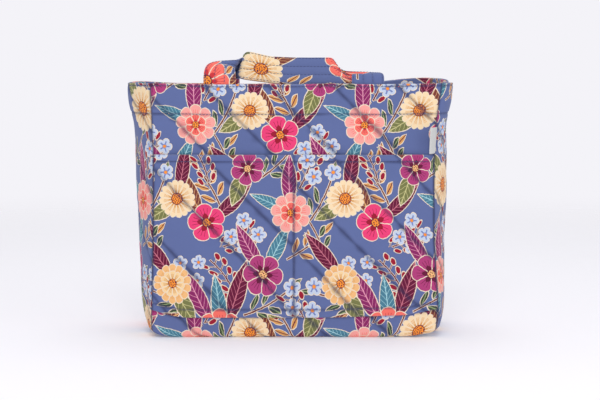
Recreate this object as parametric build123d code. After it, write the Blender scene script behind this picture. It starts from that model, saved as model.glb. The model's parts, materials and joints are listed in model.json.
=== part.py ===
from build123d import *

# A quilted cotton knitting bag: a boxy tote with a flat stiffened base, bulging side gussets, a patch
# pocket across the front that one line of stitching divides in two, a deep facing round the mouth that
# carries a magnetic snap, a full lining with a slip pocket, two strap handles and a woven side label.
#
# Frame: millimetres, +Z up, X across the front, -Y towards the front. The origin is the middle of the
# flat underside. The front handle leans back over the mouth and the back handle hangs down behind.

import math
import os

# ---- driving dimensions -----------------------------------------------------------------------------
WIDTH = 265.0  # front panel, seam to seam
HEIGHT = 235.0  # underside to rim
QUILT = 3.0  # printed cotton, wadding and backing, quilted together
LINING = 0.8
FACING = 1.5
GAP = 0.1  # clearance between layers that are only sewn at their edges

# The body at each height: (height, front-to-back depth, how far each side bulges past the front panel).
# The mouth closes up a little, which pushes the sides out, and the stiff facing makes a collar there.
FACING_DEPTH = 28.0
FACING_LOW = HEIGHT - FACING_DEPTH
BODY = [
    (0, 110, 5),
    (12, 110, 10),
    (35, 109, 13),
    (80, 107, 15),
    (158, 103, 17),
    (FACING_LOW - 3, 100, 19),
    (FACING_LOW + 5, 99, 24),
    (HEIGHT, 97, 25.5),
]
RIM_DEPTH = BODY[-1][1]

# Inside the base, from the underside up: quilted panel, stiff board, lining.
BOARD = 1.8
BOARD_Z = QUILT + GAP
BASE_LINING_Z = BOARD_Z + BOARD + GAP
WALL_LINING_Z = BASE_LINING_Z + LINING + GAP
BOARD_MARGIN = 6.0

# The handle ends are sewn in between the outer panels and the facing.
STRAP_THICK = 3.2
END_THICK = 2.0
LINING_INSET = QUILT + GAP
FACING_INSET = QUILT + END_THICK + 2 * GAP

# Patch pockets: a slab that stands off the panel behind it and meets it along its sewn edges.
POCKET_LOW, POCKET_TOP = 23.0, 170.0
POCKET_THICK = 2.4
POCKET_ROOM = 2.0  # how far the pocket's inside stands open
SEAM = 3.0  # sewn edge
DIVIDER = 1.2
SLIP_WIDTH, SLIP_LOW, SLIP_TOP = 180.0, 70.0, 180.0
SLIP_THICK = 0.8

# Handles: how far from the middle each sewn end runs, and the line each handle swings about, as
# (distance from the middle plane, height). The sewn ends stop at the rim; the cloth that bends is left out.
LEG_OUTER, LEG_INNER = 83.5, 53.5
END_LOW = HEIGHT - 24.0
STRAP_Y = RIM_DEPTH / 2 - QUILT - GAP - END_THICK / 2
FRONT_PIVOT = (STRAP_Y, HEIGHT + 6.0)
BACK_PIVOT = (RIM_DEPTH / 2 + 0.5, HEIGHT + 4.0)
BACK_HANG = 158.0  # degrees the back handle is folded outwards from upright
ARCH_LEG = 8.0  # straight part of the back handle's legs
ARCH_OUTER, ARCH_INNER = 42.0, 12.0  # rise of the back handle's two edges above its legs
ARCH_STEP = 22.5
CORE_INSET = 1.0  # the strap's cover is this thick all round its core

# Magnetic snap in the middle of the facing.
SNAP_R, SNAP_THICK, SNAP_HUB_R, SNAP_HUB = 9.0, 2.2, 4.0, 1.6
SNAP_Z = HEIGHT - FACING_DEPTH / 2
WASHER_THICK = 0.8
MOUTH_SLOPE = (BODY[-2][1] - BODY[-1][1]) / 2 / (BODY[-1][0] - BODY[-2][0])

# Woven side label, folded and sewn into the front right seam.
LABEL_LOW, LABEL_HIGH = 171.0, 195.0
LABEL_REACH, LABEL_THICK = 14.0, 1.0
LABEL_TILT = 66.0  # degrees out from lying flat on the front panel
LABEL_STANDOFF = 1.4  # hinge line in front of the seam corner

# Lines of thread, as thin beads on the surface.
THREAD = 0.5
THREAD_OUT = 0.15
RIM_STITCH_Z = HEIGHT - 2.0
FACING_STITCH_Z = FACING_LOW
HEM_STITCH_Z = POCKET_TOP - 6.5
POCKET_LOW_STITCH_Z = POCKET_LOW + 7.0


# ---- the body's shape -------------------------------------------------------------------------------
def body_at(z):
    """Depth and side bulge of the body at height z, straight between the stated heights."""
    for (z0, depth0, bulge0), (z1, depth1, bulge1) in zip(BODY, BODY[1:]):
        if z <= z1:
            share = (z - z0) / (z1 - z0)
            return depth0 + share * (depth1 - depth0), bulge0 + share * (bulge1 - bulge0)
    return BODY[-1][1:]


def heights(low, high):
    """The heights at which a wall from low to high needs a section."""
    return [low] + [z for z, _, _ in BODY if low + 0.5 < z < high - 0.5] + [high]


def flat_section(x_low, x_high, y_near, y_far, z):
    """A rectangle at height z, from y_near to y_far."""
    corners = [(x_low, y_near, z), (x_high, y_near, z), (x_high, y_far, z), (x_low, y_far, z)]
    return Polyline(*corners, close=True)


def loft_wires(curves):
    """A closed solid through closed curves, straight between them."""
    return Solid.make_loft([Wire(c.edges()) for c in curves], ruled=True)


def flat_wall(inset, thick, low, high, side, half_width=None):
    """A front (side -1) or back (side +1) wall layer, inset from the outer surface."""
    half = WIDTH / 2 - inset if half_width is None else half_width
    curves = []
    for z in heights(low, high):
        outer = body_at(z)[0] / 2 - inset
        curves.append(flat_section(-half, half, side * outer, side * (outer - thick), z))
    return loft_wires(curves)


def gusset_wall(inset, thick, low, high, side):
    """A bulging left (side -1) or right (side +1) wall layer."""
    curves = []
    for z in heights(low, high):
        depth, bulge = body_at(z)
        x_seam = side * (WIDTH / 2 - inset + GAP)
        x_outer = side * (WIDTH / 2 + bulge - inset)
        x_inner = side * (WIDTH / 2 + bulge - inset - thick)
        half_outer = depth / 2 - inset
        half_inner = half_outer - thick
        outer = ThreePointArc((x_seam, -half_outer, z), (x_outer, 0, z), (x_seam, half_outer, z))
        inner = ThreePointArc((x_seam, half_inner, z), (x_inner, 0, z), (x_seam, -half_inner, z))
        curves.append(outer + Line(outer @ 1, inner @ 0) + inner + Line(inner @ 1, outer @ 0))
    return loft_wires(curves)


def full_floor(inset, low, high):
    """A flat layer over the whole base."""
    curves = []
    for z in (low, high):
        depth, bulge = body_at(z)
        x, y, reach = WIDTH / 2 - inset, depth / 2 - inset, WIDTH / 2 + bulge - inset
        right = ThreePointArc((x, -y, z), (reach, 0, z), (x, y, z))
        left = ThreePointArc((-x, y, z), (-reach, 0, z), (-x, -y, z))
        curves.append(right + Line(right @ 1, left @ 0) + left + Line(left @ 1, right @ 0))
    return loft_wires(curves)


def wall_set(layer, inset, thick, low, high):
    """The four walls of one layer, as {node name: solid}."""
    return {
        f"front_{layer}": flat_wall(inset, thick, low, high, -1),
        f"back_{layer}": flat_wall(inset, thick, low, high, 1),
        f"left_{layer}": gusset_wall(inset, thick, low, high, -1),
        f"right_{layer}": gusset_wall(inset, thick, low, high, 1),
    }


# ---- pockets ----------------------------------------------------------------------------------------
def front_pocket():
    """The divided patch pocket over the front panel, open at the top."""
    half = WIDTH / 2 - GAP
    stands_off = POCKET_ROOM + POCKET_THICK
    slab = flat_wall(-GAP - stands_off, stands_off, POCKET_LOW, POCKET_TOP, -1, half)
    for centre in (-half / 2, half / 2):
        room = half / 2 - (SEAM + DIVIDER / 2) / 2
        shift = math.copysign((SEAM - DIVIDER / 2) / 2, -centre)
        hollow = flat_wall(-GAP - POCKET_ROOM, POCKET_ROOM + GAP, POCKET_LOW + SEAM, POCKET_TOP + 1, -1, room)
        slab = slab - hollow.moved(Location((centre + shift, 0, 0)))
    return slab


def slip_pocket():
    """The plain pocket on the back lining."""
    half = SLIP_WIDTH / 2
    inset = LINING_INSET + LINING + GAP
    slab = flat_wall(inset, POCKET_ROOM + SLIP_THICK, SLIP_LOW, SLIP_TOP, 1, half)
    hollow = flat_wall(inset - GAP, POCKET_ROOM + GAP, SLIP_LOW + SEAM, SLIP_TOP + 1, 1, half - SEAM)
    return slab - hollow


# ---- handles ----------------------------------------------------------------------------------------
# Cross lines of the front handle's strap from its left end to its right: its outer edge, then its inner
# edge, as (x, towards the mouth, up) from the swing line. The legs rise, fold back and turn into the grip.
FRONT_LINES = [
    ((-LEG_OUTER, 0, 0), (-LEG_INNER, 0, 0)),
    ((-83, 2, 7), (-54, 1, 6)),
    ((-80, 7, 13), (-55, 5, 9)),
    ((-73, 13, 15), (-56, 9, 6)),
    ((-62, 19, 16), (-56, 13, 3)),
    ((-52, 25, 18), (-53, 15, 0)),
    ((-44, 29, 23), (-45, 15, -2)),
    ((-24, 30, 19), (-22, 15, -6)),
    ((0, 30, 18), (0, 15, -7)),
    ((24, 30, 18), (22, 15, -7)),
    ((35, 30, 17), (34, 14, -7)),
    ((43, 28, 9), (40, 13, -7)),
    ((58, 26, 5), (46, 11, -6)),
    ((75, 18, 4), (51, 7, -3)),
    ((82, 8, 4), (53, 4, 3)),
    ((LEG_OUTER, 1, 3), (LEG_INNER, 1, 3)),
    ((LEG_OUTER, 0, 0), (LEG_INNER, 0, 0)),
]


def arch_lines():
    """Cross lines of the back handle's strap: two short legs under a flat arch."""
    lines = [((-LEG_OUTER, 0, 2), (-LEG_INNER, 0, 2))]
    for k in range(round(180 / ARCH_STEP) + 1):
        turn = math.radians(k * ARCH_STEP)
        x, rise = -math.cos(turn), math.sin(turn)
        outer_edge = (LEG_OUTER * x, 0, ARCH_LEG + ARCH_OUTER * rise)
        inner_edge = (LEG_INNER * x, 0, ARCH_LEG + ARCH_INNER * rise)
        lines.append((outer_edge, inner_edge))
    return lines + [((LEG_OUTER, 0, 2), (LEG_INNER, 0, 2))]


def strap_solid(lines, shrink):
    """A strap through cross lines, shrink less than full size on every face, about its swing line."""
    last = len(lines) - 1
    middles = [(Vector(outer) + Vector(inner)) * 0.5 for outer, inner in lines]
    sections = []
    for k, (outer, inner) in enumerate(lines):
        across = (Vector(inner) - Vector(outer)).normalized()
        along = (middles[min(k + 1, last)] - middles[max(k - 1, 0)]).normalized()
        lift = Vector(0, 0, 0)
        if k in (0, last):  # the ends are cut level
            along = Vector(0, 0, 1 if k == 0 else -1)
            lift = Vector(0, 0, shrink)
        half = across.cross(along).normalized() * (STRAP_THICK / 2 - shrink)
        start = Vector(outer) + across * shrink + lift
        end = Vector(inner) - across * shrink + lift
        sections.append(Polyline(start + half, end + half, end - half, start - half, close=True))
    return loft_wires(sections)


def handle(lines, pivot, side, fold):
    """A handle's cover and core, on the front (side -1) or back, folded outwards by fold degrees."""
    core = strap_solid(lines, CORE_INSET + GAP / 2)
    cover = strap_solid(lines, 0) - strap_solid(lines, CORE_INSET)
    pieces = []
    for piece in (cover, core):
        folded = piece.rotate(Axis.X, fold)
        if side > 0:
            folded = folded.rotate(Axis.Z, 180)
        pieces.append(folded.moved(Location((0, side * pivot[0], pivot[1]))))
    return pieces


def handle_ends(side):
    """The two sewn-in ends of a handle's strap, between the outer panel and the facing."""
    end = flat_wall(LINING_INSET, END_THICK, END_LOW, HEIGHT, side, (LEG_OUTER - LEG_INNER) / 2)
    middle = (LEG_OUTER + LEG_INNER) / 2
    return Compound(children=[end.moved(Location((x, 0, 0))) for x in (-middle, middle)])


# ---- snap, label and thread -------------------------------------------------------------------------
def snap_disc(side, depth_in, thick, radius):
    """A disc lying along the mouth's sloping wall, its near face depth_in from the outer surface."""
    y = side * (body_at(SNAP_Z)[0] / 2 - depth_in)
    return Solid.make_cylinder(radius, thick, Plane((0, y, SNAP_Z), z_dir=(0, -side, -MOUTH_SLOPE)))


def snap_half(side, hub):
    """One half of the magnetic snap: a disc with a raised hub, or with a seat for the other's hub."""
    near = FACING_INSET + FACING + GAP
    disc = snap_disc(side, near, SNAP_THICK, SNAP_R)
    if hub:
        return disc + snap_disc(side, near + SNAP_THICK, SNAP_HUB, SNAP_HUB_R)
    return disc - snap_disc(side, near + SNAP_THICK - SNAP_HUB, SNAP_HUB + GAP, SNAP_HUB_R + 0.3)


def label_hinge():
    """The line the label swings about, at mid height, just in front of the front right seam."""
    middle = (LABEL_LOW + LABEL_HIGH) / 2
    return WIDTH / 2 - 0.5, -body_at(middle)[0] / 2 - LABEL_STANDOFF


def side_label():
    """The folded label, standing out from the seam."""
    x, y = label_hinge()
    flat = Solid.make_box(LABEL_REACH, LABEL_THICK, LABEL_HIGH - LABEL_LOW)
    flat = flat.moved(Location((-LABEL_REACH - 0.2, -LABEL_THICK / 2, 0)))
    return flat.rotate(Axis.Z, LABEL_TILT).moved(Location((x, y, LABEL_LOW)))


def thread_ring(z):
    """A line of thread right round the body at height z."""
    low, high, inset = z - THREAD / 2, z + THREAD / 2, -THREAD_OUT - THREAD
    ring = wall_set("thread", inset, THREAD, low, high)
    return Compound(children=list(ring.values()))


def pocket_thread():
    """The pocket's hem, lower edge and divider stitching."""
    inset = -GAP - POCKET_ROOM - POCKET_THICK - THREAD_OUT - THREAD
    half = WIDTH / 2 - SEAM
    lines = [
        flat_wall(inset, THREAD, z - THREAD / 2, z + THREAD / 2, -1, half)
        for z in (HEM_STITCH_Z, POCKET_LOW_STITCH_Z)
    ]
    low, high = POCKET_LOW_STITCH_Z + THREAD, HEM_STITCH_Z - THREAD
    lines.append(flat_wall(inset, THREAD, low, high, -1, THREAD / 2))
    return Compound(children=lines)


# ---- the assembly -----------------------------------------------------------------------------------
outer = wall_set("panel", 0, QUILT, QUILT + GAP, HEIGHT)
nodes = {"left_gusset": outer.pop("left_panel"), "right_gusset": outer.pop("right_panel"), **outer}
nodes.update(wall_set("lining", LINING_INSET, LINING, WALL_LINING_Z, FACING_LOW - GAP))
nodes.update(wall_set("facing", FACING_INSET, FACING, FACING_LOW, HEIGHT - 2 * GAP))
nodes["base_panel"] = full_floor(0, 0, QUILT)
nodes["base_board"] = full_floor(BOARD_MARGIN, BOARD_Z, BOARD_Z + BOARD)
nodes["base_lining"] = full_floor(LINING_INSET, BASE_LINING_Z, BASE_LINING_Z + LINING)
nodes["front_pocket"] = front_pocket()
nodes["slip_pocket"] = slip_pocket()

nodes["front_handle_cover"], nodes["front_handle_core"] = handle(FRONT_LINES, FRONT_PIVOT, -1, 0)
nodes["back_handle_cover"], nodes["back_handle_core"] = handle(arch_lines(), BACK_PIVOT, 1, BACK_HANG)
nodes["front_handle_ends"] = handle_ends(-1)
nodes["back_handle_ends"] = handle_ends(1)

nodes["snap_stud"] = snap_half(-1, hub=True)
nodes["snap_socket"] = snap_half(1, hub=False)
washers = [snap_disc(side, FACING_INSET - GAP - WASHER_THICK, WASHER_THICK, SNAP_R) for side in (-1, 1)]
nodes["snap_washers"] = Compound(children=washers)
nodes["side_label"] = side_label()
nodes["rim_stitching"] = thread_ring(RIM_STITCH_Z)
nodes["facing_stitching"] = thread_ring(FACING_STITCH_Z)
nodes["pocket_stitching"] = pocket_thread()

os.makedirs("parts", exist_ok=True)
for name, shape in nodes.items():
    export_step(shape, f"parts/{name}.step")
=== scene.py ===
# The looks of a quilted, printed cotton knitting bag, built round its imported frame.
#
# Every wall is a padded sheet laid on the frame's own outline, with quilting, seams and hems pressed into
# it. One function, settle(), then gives all the layers the same soft unevenness, so they stay nested.

import json
import math

import bpy
import numpy as np
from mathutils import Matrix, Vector


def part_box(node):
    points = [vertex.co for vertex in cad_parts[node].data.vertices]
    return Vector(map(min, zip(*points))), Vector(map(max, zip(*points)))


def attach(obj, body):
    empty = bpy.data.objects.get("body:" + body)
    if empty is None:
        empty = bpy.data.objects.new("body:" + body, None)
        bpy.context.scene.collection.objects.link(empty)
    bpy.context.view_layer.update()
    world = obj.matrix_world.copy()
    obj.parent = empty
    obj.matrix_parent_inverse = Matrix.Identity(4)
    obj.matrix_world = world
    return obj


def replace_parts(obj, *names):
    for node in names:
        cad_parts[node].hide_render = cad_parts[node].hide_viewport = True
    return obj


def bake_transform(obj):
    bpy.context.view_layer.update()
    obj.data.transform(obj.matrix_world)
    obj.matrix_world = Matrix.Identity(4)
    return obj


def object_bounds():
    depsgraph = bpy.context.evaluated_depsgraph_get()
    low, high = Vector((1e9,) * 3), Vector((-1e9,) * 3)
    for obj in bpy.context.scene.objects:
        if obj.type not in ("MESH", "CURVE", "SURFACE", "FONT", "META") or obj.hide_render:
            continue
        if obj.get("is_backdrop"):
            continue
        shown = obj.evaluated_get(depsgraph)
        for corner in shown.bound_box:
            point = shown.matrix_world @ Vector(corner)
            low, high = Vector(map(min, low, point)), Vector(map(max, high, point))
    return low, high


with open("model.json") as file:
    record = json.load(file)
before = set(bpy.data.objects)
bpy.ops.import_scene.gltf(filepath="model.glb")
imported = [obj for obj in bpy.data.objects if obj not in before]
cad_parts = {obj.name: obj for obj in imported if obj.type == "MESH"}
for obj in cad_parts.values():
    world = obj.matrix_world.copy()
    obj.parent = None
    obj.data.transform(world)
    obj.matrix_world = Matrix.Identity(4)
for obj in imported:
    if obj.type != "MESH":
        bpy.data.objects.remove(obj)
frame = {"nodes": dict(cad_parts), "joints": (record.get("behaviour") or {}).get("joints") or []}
cad_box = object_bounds()

MM = 0.001
JOINTS = {joint["name"]: joint for joint in frame["joints"]}


# ---- sizes read from the frame ----
def node_points(name):
    """The corners of a CAD node, as rows of x, y, z."""
    return np.array([v.co for v in frame["nodes"][name].data.vertices], float)


HALF_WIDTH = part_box("front_panel")[1].x
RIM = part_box("front_panel")[1].z
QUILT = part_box("base_panel")[1].z
FACING_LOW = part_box("front_facing")[0].z
POCKET_LOW, POCKET_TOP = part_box("front_pocket")[0].z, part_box("front_pocket")[1].z
FINE_Z = np.arange(0, RIM + MM / 2, MM)
CURL = 5 * MM  # radius of the turn from the walls into the base


def travel(path):
    """Distance travelled to each point of a path."""
    return np.concatenate([[0], np.cumsum(np.linalg.norm(np.diff(path, axis=0), axis=1))])


def read_along(at, distances, rows):
    """Rows of numbers known at some distances, read at others."""
    return np.stack([np.interp(at, distances, column) for column in rows.T], axis=-1)


def unit(vectors):
    return vectors / np.maximum(np.linalg.norm(vectors, axis=-1, keepdims=True), 1e-12)


def softened(rows, spread):
    """Rows of numbers with their corners rounded over about spread rows. Both ends stay put."""
    reach = 3 * spread
    kernel = np.exp(-0.5 * (np.arange(-reach, reach + 1) / spread) ** 2)
    kernel /= kernel.sum()
    padded = np.pad(rows, ((reach, reach), (0, 0)), mode="reflect", reflect_type="odd")
    return np.stack([np.convolve(column, kernel, mode="valid") for column in padded.T], axis=-1)


def outline():
    """Half depth and side reach of the outer wall at each height in FINE_Z."""
    base, front, gusset = [node_points(name) for name in ("base_panel", "front_panel", "right_gusset")]
    front_z, gusset_z = np.round(front[:, 2], 4), np.round(gusset[:, 2], 4)
    levels = np.unique(front_z)
    floor = base[base[:, 2] < QUILT / 2]
    depth = [-floor[:, 1].min()] + [-front[front_z == z, 1].min() for z in levels]
    reach = [floor[:, 0].max()] + [gusset[gusset_z == z, 0].max() for z in levels]
    return softened(read_along(FINE_Z, [0, *levels], np.stack([depth, reach], axis=-1)), 7).T


HALF_DEPTH, REACH = outline()


def half_depth(z):
    return np.interp(z, FINE_Z, HALF_DEPTH)


def bow(z):
    """Bulge, radius and half angle of the arc that a side wall follows at height z."""
    bulge = np.interp(z, FINE_Z, REACH) - HALF_WIDTH
    half = half_depth(z)
    radius = (bulge**2 + half**2) / (2 * bulge)
    return bulge, radius, np.arcsin(np.clip(half / radius, 0, 1))


# ---- soft shapes ----
def ease(value, low, high):
    """0 below low, 1 above high, smooth between."""
    t = np.clip((value - low) / (high - low), 0, 1)
    return t * t * (3 - 2 * t)


def hill(value, centre, width):
    """1 at centre, falling smoothly to nothing about two widths away."""
    return np.exp(-(((value - centre) / width) ** 2))


WAVES, WAVE_SUM = 7, 3.2  # how many make a ripple, and about the most they add up to


def ripple(a, b, seed, size):
    """Slow even noise between about -1 and 1 over a plane, with bumps about size across."""
    draw = np.random.default_rng(seed)
    total = 0
    for _ in range(WAVES):
        turn = draw.uniform(0, math.tau)
        wave = math.tau / (size * draw.uniform(1.2, 3.2))
        total = total + np.sin((a * math.cos(turn) + b * math.sin(turn)) * wave + draw.uniform(0, math.tau))
    return total / WAVE_SUM


# How far, in millimetres, the seams and the middles of the side walls stand out of true at a few heights
SLACK_Z = (0, 0.018, 0.036, 0.064, 0.09, 0.128, 0.17, 0.205, RIM)
SEAM_SLACK = {
    -1: (0, 0, -0.3, -0.8, -1.5, -1.9, -2.2, -1.0, 0.4),
    1: (0, 2.0, 1.5, -0.3, -2.2, -2.5, -2.2, 0.0, 4.4),
}
BULGE_SLACK = {
    -1: (0, 0.4, 0.5, 0.4, 0.5, 0.9, 1.2, 1.2, 0.5),
    1: (0, -1.4, -2.1, -3.3, -3.9, -3.7, -4.6, -8.3, -10.4),
}
# Where the rim stands high: across and its spread, back and its spread, in metres, and millimetres of rise
RIM_RISES = (
    (0.124, 0.04, 0.04, 0.045, 6),
    (-0.14, 0.03, 0.03, 0.05, 2.2),
    (0.145, 0.02, -0.035, 0.03, 0.9),
    (-0.145, 0.02, -0.035, 0.03, 0.9),
)
# Where the bottom corners round up: across and its spread, in metres, and millimetres of rise
CORNER_RISES = ((-0.138, 0.014, 4.5), (0.14, 0.024, 5.2))


def settle(points):
    """Where the standing cloth has given way: rim height, walls slightly in and out, corners flared."""
    x, y, z = points[..., 0], points[..., 1], points[..., 2]
    fade = 1 - ease(z, RIM + 4 * MM, RIM + 12 * MM)
    rise = 0.4 * ripple(x, y, 3, 0.045)
    for across, wide, back, deep, high in RIM_RISES:
        rise = rise + high * hill(x, across, wide) * hill(y, back, deep)
    corners = sum(high * hill(x, across, wide) for across, wide, high in CORNER_RISES)
    lift = rise * ease(z, 0.08, RIM) ** 2
    lift = lift + corners * (1 - ease(z, 0.01, 0.07)) * ease(abs(y), 0, 0.05)
    above_base = ease(z, 0.01, 0.06)
    across = 1.1 * above_base * ripple(x, z, 5, 0.06) * np.tanh(y / 0.03)
    edge = ease(abs(y) / half_depth(np.clip(z, 0, RIM)), 0, 1)
    outward = 0.6 * above_base * ripple(y, z, 9, 0.05) * np.tanh(x / 0.12) * (1 - edge)
    for way in (-1, 1):
        seam = np.interp(z, SLACK_Z, SEAM_SLACK[way])
        middle = np.interp(z, SLACK_Z, BULGE_SLACK[way])
        share = ease(way * x, 0.07, HALF_WIDTH) ** 2
        outward = outward + way * share * (seam * edge + middle * (1 - edge))
    moved = points.copy()
    moved[..., 0] += outward * fade * MM
    moved[..., 1] += across * fade * MM * (1 - 0.6 * ease(z, RIM - 30 * MM, RIM))
    moved[..., 2] += lift * fade * MM
    return moved


def half_span(side):
    """Half the length of cloth across a wall, at half its height."""
    if side in ("front", "back"):
        return HALF_WIDTH
    _, radius, half_angle = bow(RIM / 2)
    return float(radius * half_angle)


def steps(low, high, pitch):
    """Grid lines from low to high, closer together at both ends, where cloth turns over."""
    ends = np.array((0, 0.25, 0.6, 1.1, 1.8, 2.6)) * min(MM, (high - low) / 8)
    count = max(2, round((high - low - 2 * ends[-1]) / pitch))
    middle = np.linspace(low + ends[-1], high - ends[-1], count + 1)
    return np.concatenate([low + ends[:-1], middle, high - ends[-2::-1]])


def turned(distance, radius):
    """How full a sheet is near its edge: 0 on the edge, 1 from radius inwards, round between."""
    return np.sqrt(1 - (1 - np.clip(distance / radius, 0, 1)) ** 2)


def mesh_object(name, points, faces, uv=None, **marks):
    """A smooth mesh object from rows of points and faces, with a cloth UV layer and named attributes."""
    mesh = bpy.data.meshes.new(name)
    mesh.from_pydata(points.tolist(), [], faces)
    mesh.polygons.foreach_set("use_smooth", np.ones(len(mesh.polygons), bool))
    if uv is not None:
        corners = np.zeros(len(mesh.loops), np.int32)
        mesh.loops.foreach_get("vertex_index", corners)
        layer = mesh.uv_layers.new(name="Cloth")
        layer.data.foreach_set("uv", uv[corners].astype(np.float32).ravel())
    for mark, values in marks.items():
        mesh.attributes.new(mark, "FLOAT", "POINT").data.foreach_set("value", values.astype(np.float32))
    mesh.update()
    obj = bpy.data.objects.new(name, mesh)
    bpy.context.scene.collection.objects.link(obj)
    return obj


CREASE_FROM, CREASE_OVER = 0.4 * MM, 0.6 * MM  # how deep relief starts to take painted crease shade, and over what depth
# the most painted shade in a crease, the painted shade along a seam, and how far from the seam it reaches
DEEPEST_CREASE_SHADE, SEAM_SHADE, SEAM_REACH = 1.3, 1.8, 1.3 * MM


def flat(u, v):
    """No relief."""
    return 0 * u


def sheet(name, place, u_ends, v_ends, pitch, thick, radius, lift=flat, dent=flat, offset=(0, 0),
          move=settle, seamed=False):
    """A closed padded sheet over u_ends by v_ends, rounded over within radius of its edges. place(u, v,
    out) gives its points, lift(u, v) is its outer face's relief and dent(u, v) that of its inner face. The
    cloth is marked where it wears, and painted with shade where it is creased, also along seamed sides."""
    u, v = np.meshgrid(steps(*u_ends, pitch), steps(*v_ends, pitch))
    to_side = np.minimum(u - u_ends[0], u_ends[1] - u)
    full = turned(to_side, radius) * turned(np.minimum(v - v_ends[0], v_ends[1] - v), radius)
    outer = place(u, v, -thick / 2 + (thick / 2 + lift(u, v)) * full)
    inner = place(u, v, -thick / 2 - (thick / 2 + dent(u, v)) * full)
    number = np.arange(u.size).reshape(u.shape)
    inside = np.zeros(u.shape, bool)
    inside[1:-1, 1:-1] = True
    behind = number.copy()
    behind[inside] = u.size + np.arange(inside.sum())
    points = move(np.concatenate([outer.reshape(-1, 3), inner[inside]]))
    cloth = np.stack([u + offset[0], v + offset[1]], axis=-1)
    cloth = np.concatenate([cloth.reshape(-1, 2), cloth[inside]])
    # painted shade where the relief sinks into a crease
    crease_shade = np.clip((-lift(u, v) - CREASE_FROM) / CREASE_OVER, 0, DEEPEST_CREASE_SHADE)
    wear = 1 - full
    if seamed:
        # painted shade along the seamed sides
        crease_shade = np.maximum(crease_shade, SEAM_SHADE * hill(to_side, 0, SEAM_REACH))
        wear = wear * ease(to_side, MM, 4 * MM)
    marks = {"crease_shade": crease_shade, "wear": wear}
    marks = {mark: np.concatenate([values.ravel(), values[inside]]) for mark, values in marks.items()}

    def quads(grid):
        corners = [grid[:-1, :-1], grid[:-1, 1:], grid[1:, 1:], grid[1:, :-1]]
        return np.stack(corners, axis=-1).reshape(-1, 4)

    faces = np.concatenate([quads(number), quads(behind)[:, ::-1]])
    return mesh_object(name, points, faces.tolist(), cloth, **marks)


# ---- quilting and stitching ----
QUILT_SPACING = 42 * MM
QUILT_RISE = 1.5 * MM
GROOVE, VALLEY = 1.2 * MM, 7 * MM  # how far the thread's own groove and the dip round it reach
DIAGONAL = math.sqrt(0.5)
STITCH = {"length": 2.6 * MM, "gap": 0.6 * MM, "radius": 0.28 * MM}
FINE_STITCH = {"length": 2.2 * MM, "gap": 0.6 * MM, "radius": 0.24 * MM}


def quilting(u, v, phase):
    """Relief of the quilted layer: 0 at its fullest and negative where thread pulls it in, along lines
    that all run down to the right."""
    beyond = (u + v) * DIAGONAL - phase
    near = abs((beyond + QUILT_SPACING / 2) % QUILT_SPACING - QUILT_SPACING / 2)
    crinkle = 0.16 * ripple(u, v * 2.2, 21, 0.012) * np.exp(-near / VALLEY)
    return QUILT_RISE * (crinkle - 0.6 * np.exp(-near / GROOVE) - 0.4 * np.exp(-near / VALLEY))


def stitches(path, out, style):
    """Points and faces of separate stitches along a path on a surface, with out the way out of it."""
    travelled = travel(path)
    pitch = style["length"] + style["gap"]
    count = int((travelled[-1] - style["gap"]) // pitch)
    starts = style["gap"] + pitch * np.arange(count)
    shares = np.array([0.0, 0.14, 0.5, 0.86, 1.0])
    waist = np.array([0.35, 0.85, 1.0, 0.85, 0.35]) * style["radius"]
    height = np.array([-0.9, 0.1, 0.55, 0.1, -0.9]) * style["radius"]
    at = starts[:, None] + shares * style["length"]
    centre = read_along(at, travelled, path)
    lift = unit(read_along(at, travelled, out))
    ahead = unit(centre[:, -1:] - centre[:, :1]) + 0 * centre
    side = np.cross(ahead, lift)
    centre = centre + lift * height[:, None]
    sides = 6
    turn = math.tau * np.arange(sides) / sides
    ring = side[:, :, None] * np.cos(turn)[:, None] + lift[:, :, None] * np.sin(turn)[:, None]
    points = centre[:, :, None] + ring * waist[:, None, None]
    number = np.arange(count * len(shares) * sides).reshape(count, len(shares), sides)
    near, far = number[:, :-1], number[:, 1:]
    walls = np.stack([near, np.roll(near, -1, axis=2), np.roll(far, -1, axis=2), far], axis=-1)
    caps = np.concatenate([number[:, 0, ::-1], number[:, -1]])
    return points.reshape(-1, 3), walls.reshape(-1, 4).tolist() + caps.tolist()


def finish(obj, body, material, *nodes):
    """Gives a piece its material and its body, and hides the CAD nodes it stands for."""
    obj.data.materials.append(MATERIALS[material])
    if body:
        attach(obj, body)
    "thread" if material == "pale_thread" else material
    if nodes:
        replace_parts(obj, *nodes)
    return obj


# ---- node helpers ----
def operator(operation, swapped=False):
    """A method of Num that makes a Math node."""

    def method(self, other):
        return calc(operation, other, self) if swapped else calc(operation, self, other)

    return method


class Num:
    """A number flowing through a node tree. Sums and products of these make Math nodes."""

    def __init__(self, socket):
        self.socket = socket

    __add__ = __radd__ = operator("ADD")
    __sub__, __rsub__ = operator("SUBTRACT"), operator("SUBTRACT", swapped=True)
    __mul__ = __rmul__ = operator("MULTIPLY")
    __truediv__ = operator("DIVIDE")
    __gt__, __lt__ = operator("GREATER_THAN"), operator("LESS_THAN")

    def __abs__(self):
        return calc("ABSOLUTE", self)

    def __round__(self):
        return calc("ROUND", self)


def feed(slot, value):
    """Sets or links one input of a node."""
    if isinstance(value, Num):
        value = value.socket
    if isinstance(value, bpy.types.NodeSocket):
        slot.id_data.links.new(value, slot)
    else:
        slot.default_value = value


def fill(node, **values):
    """Sets or links named inputs of a node; an underscore in a name stands for a space."""
    for name, value in values.items():
        feed(node.inputs[name.replace("_", " ")], value)


def operate(tree, kind, operation, values):
    node = tree.nodes.new(kind)
    node.operation = operation
    for slot, value in zip(node.inputs, values):
        feed(slot, value)
    return node.outputs


def calc(operation, *values):
    tree = next(value.socket.id_data for value in values if isinstance(value, Num))
    return Num(operate(tree, "ShaderNodeMath", operation, values)[0])


def vector_calc(operation, *values):
    """A vector from vectors, the first of them a socket. A length is a Num."""
    outputs = operate(values[0].id_data, "ShaderNodeVectorMath", operation, values)
    return Num(outputs["Value"]) if operation == "LENGTH" else outputs["Vector"]


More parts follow.
